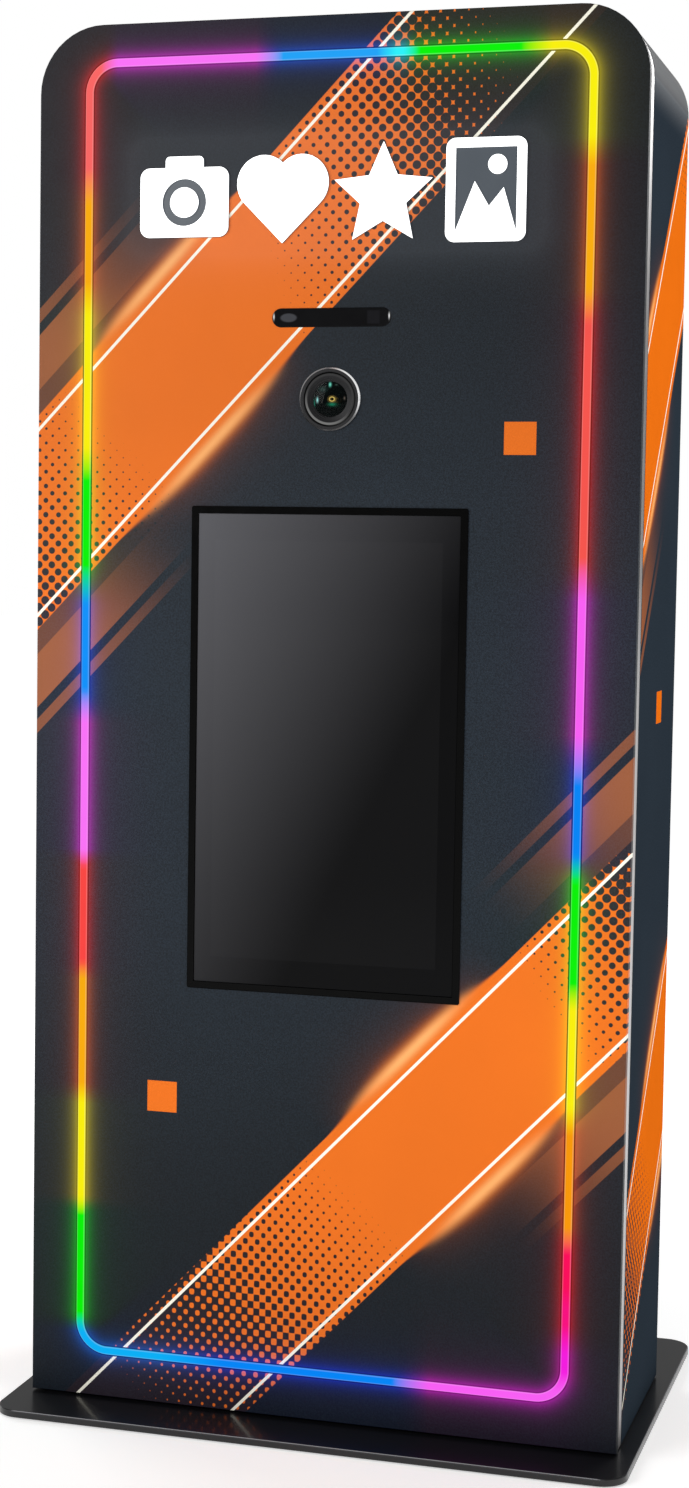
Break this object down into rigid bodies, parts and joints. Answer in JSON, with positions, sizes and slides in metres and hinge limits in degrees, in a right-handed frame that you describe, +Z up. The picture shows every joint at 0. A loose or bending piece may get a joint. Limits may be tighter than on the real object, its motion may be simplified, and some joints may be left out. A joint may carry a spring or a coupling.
{
  "type": "photo booth",
  "caption": "Free-standing photo booth: flat cabinet on a base plate with light frame, lit sign, portrait touch screen, camera behind a lens opening and a locked service door.",
  "frame": {"origin": "on the floor, under the middle of the base plate", "axes": "+Z up, the booth faces -Y, +X to the right of someone looking at its front"},
  "size_m": [0.928, 0.644, 2],
  "materials": {
    "black_steel": "satin powder coat",
    "pad_rubber": "matte",
    "zinc": "zinc plated",
    "black_fixings": "black oxide",
    "wrapped_sheet": "satin printed film on folded sheet",
    "rear_paint": "textured powder coat",
    "wrapped_board": "satin printed film on rigid board",
    "bare_aluminium": "fine brushed",
    "black_foam": "matte foam",
    "opal_diffuser": "opal, lit in changing colours",
    "sign_acrylic": "opal acrylic, lit white",
    "galvanised": "galvanised",
    "circuit_board": "solder mask",
    "smoked_window": "gloss smoked acrylic",
    "cover_glass": "gloss, black printed border",
    "panel_black": "dark display face",
    "bezel_black": "gloss black",
    "dark_chrome": "polished, dark",
    "lens_black": "satin black",
    "lens_glass": "coated",
    "ribbed_rubber": "ribbed",
    "camera_plastic": "fine grain",
    "dial_metal": "knurled, black anodised",
    "cradle_paint": "matte black",
    "knob_plastic": "moulded",
    "case_black": "moulded case",
    "case_silver": null,
    "cable_black": "cable sheath",
    "hinge_steel": "brushed",
    "lock_chrome": "polished",
    "fan_plastic": "moulded",
    "inlet_plastic": "moulded",
    "rocker_plastic": "moulded"
  },
  "bodies": {
    "cabinet": {"base_plate": "black_steel", "floor_pads": "pad_rubber", "bottom_frame": "black_steel", "base_bolts": "zinc", "side_panel_left": "wrapped_sheet", "side_panel_right": "wrapped_sheet", "top_panel": "wrapped_sheet", "rear_panel": "rear_paint", "rear_panel_screws": "black_fixings", "edge_trim": "bare_aluminium", "trim_seals": "black_foam", "front_fascia": "wrapped_board", "led_channel": "bare_aluminium", "led_strip": "circuit_board", "led_diffuser": "opal_diffuser", "sign_symbols": "sign_acrylic", "sign_tray": "galvanised", "sign_led_board": "circuit_board", "sensor_window": "smoked_window", "sensor_board": "circuit_board", "sensor_eye": "lens_glass", "screen_bezel": "bezel_black", "touch_glass": "cover_glass", "display_panel": "panel_black", "display_housing": "galvanised", "display_board": "circuit_board", "support_rails": "galvanised", "screen_brackets": "galvanised", "lens_trim_ring": "dark_chrome", "camera_bracket": "galvanised", "equipment_shelf": "galvanised", "shelf_brackets": "galvanised", "mini_computer": "case_black", "power_supply": "case_silver", "led_controller": "case_black", "internal_cables": "cable_black", "door_seal": "black_foam", "hinge_leaves_fixed": "hinge_steel", "hinge_pins": "zinc", "power_inlet": "inlet_plastic"},
    "rear_door": {"rear_door": "rear_paint", "hinge_leaves_door": "hinge_steel", "lock_barrels": "lock_chrome", "fan_frame": "fan_plastic"},
    "lock_lower": {"lock_cam_lower": "lock_chrome"},
    "lock_upper": {"lock_cam_upper": "lock_chrome"},
    "fan": {"fan_rotor": "fan_plastic"},
    "camera": {"camera_body": "camera_plastic", "lens_barrel": "lens_black", "lens_front_ring": "lens_black", "front_element": "lens_glass", "camera_cradle": "cradle_paint"},
    "focus_ring": {"focus_ring": "ribbed_rubber"},
    "zoom_ring": {"zoom_ring": "ribbed_rubber"},
    "shutter_button": {"shutter_button": "dial_metal"},
    "mode_dial": {"mode_dial": "dial_metal"},
    "tilt_knob_left": {"tilt_knob_left": "knob_plastic"},
    "tilt_knob_right": {"tilt_knob_right": "knob_plastic"},
    "mains_rocker": {"inlet_rocker": "rocker_plastic"},
    "fuse_drawer": {"fuse_drawer": "inlet_plastic"}
  },
  "joints": [
    {"name": "rear_door_hinge", "type": "hinge", "parent": "cabinet", "child": "rear_door", "pos_m": [0.35875, 0.1348, 1.08], "axis": [0, 0, -1], "range_deg": [0, 110]},
    {"name": "lock_lower_turn", "type": "hinge", "parent": "rear_door", "child": "lock_lower", "pos_m": [-0.328, 0.13, 0.63], "axis": [0, -1, 0], "range_deg": [0, 90]},
    {"name": "lock_upper_turn", "type": "hinge", "parent": "rear_door", "child": "lock_upper", "pos_m": [-0.328, 0.13, 1.53], "axis": [0, -1, 0], "range_deg": [0, 90]},
    {"name": "fan_spin", "type": "hinge", "parent": "rear_door", "child": "fan", "pos_m": [0, 0.1165, 1.7], "axis": [0, 1, 0], "continuous": true},
    {"name": "camera_tilt", "type": "hinge", "parent": "cabinet", "child": "camera", "pos_m": [0, -0.23, 1.473], "axis": [1, 0, 0], "range_deg": [-10, 10]},
    {"name": "focus_turn", "type": "hinge", "parent": "camera", "child": "focus_ring", "pos_m": [0, -0.194, 1.473], "axis": [0, -1, 0], "range_deg": [0, 110]},
    {"name": "zoom_turn", "type": "hinge", "parent": "camera", "child": "zoom_ring", "pos_m": [0, -0.163, 1.473], "axis": [0, -1, 0], "range_deg": [0, 70]},
    {"name": "shutter_press", "type": "slide", "parent": "camera", "child": "shutter_button", "axis": [0, 0, -1], "range_m": [0, 0.0015], "stiffness_N_per_m": 400, "springref_m": -0.0005},
    {"name": "mode_turn", "type": "hinge", "parent": "camera", "child": "mode_dial", "pos_m": [0.046, -0.112, 1.508], "axis": [0, 0, 1], "continuous": true},
    {"name": "tilt_knob_left_turn", "type": "hinge", "parent": "camera", "child": "tilt_knob_left", "pos_m": [-0.0963, -0.08, 1.473], "axis": [1, 0, 0], "range_deg": [0, 270]},
    {"name": "tilt_knob_right_turn", "type": "hinge", "parent": "camera", "child": "tilt_knob_right", "pos_m": [0.0963, -0.08, 1.473], "axis": [-1, 0, 0], "range_deg": [0, 270]},
    {"name": "mains_switch", "type": "hinge", "parent": "cabinet", "child": "mains_rocker", "pos_m": [0.25, 0.1265, 0.16], "axis": [0, 0, -1], "range_deg": [0, 14]},
    {"name": "fuse_drawer_pull", "type": "slide", "parent": "cabinet", "child": "fuse_drawer", "axis": [0, 1, 0], "range_m": [0, 0.014]}
  ]
}
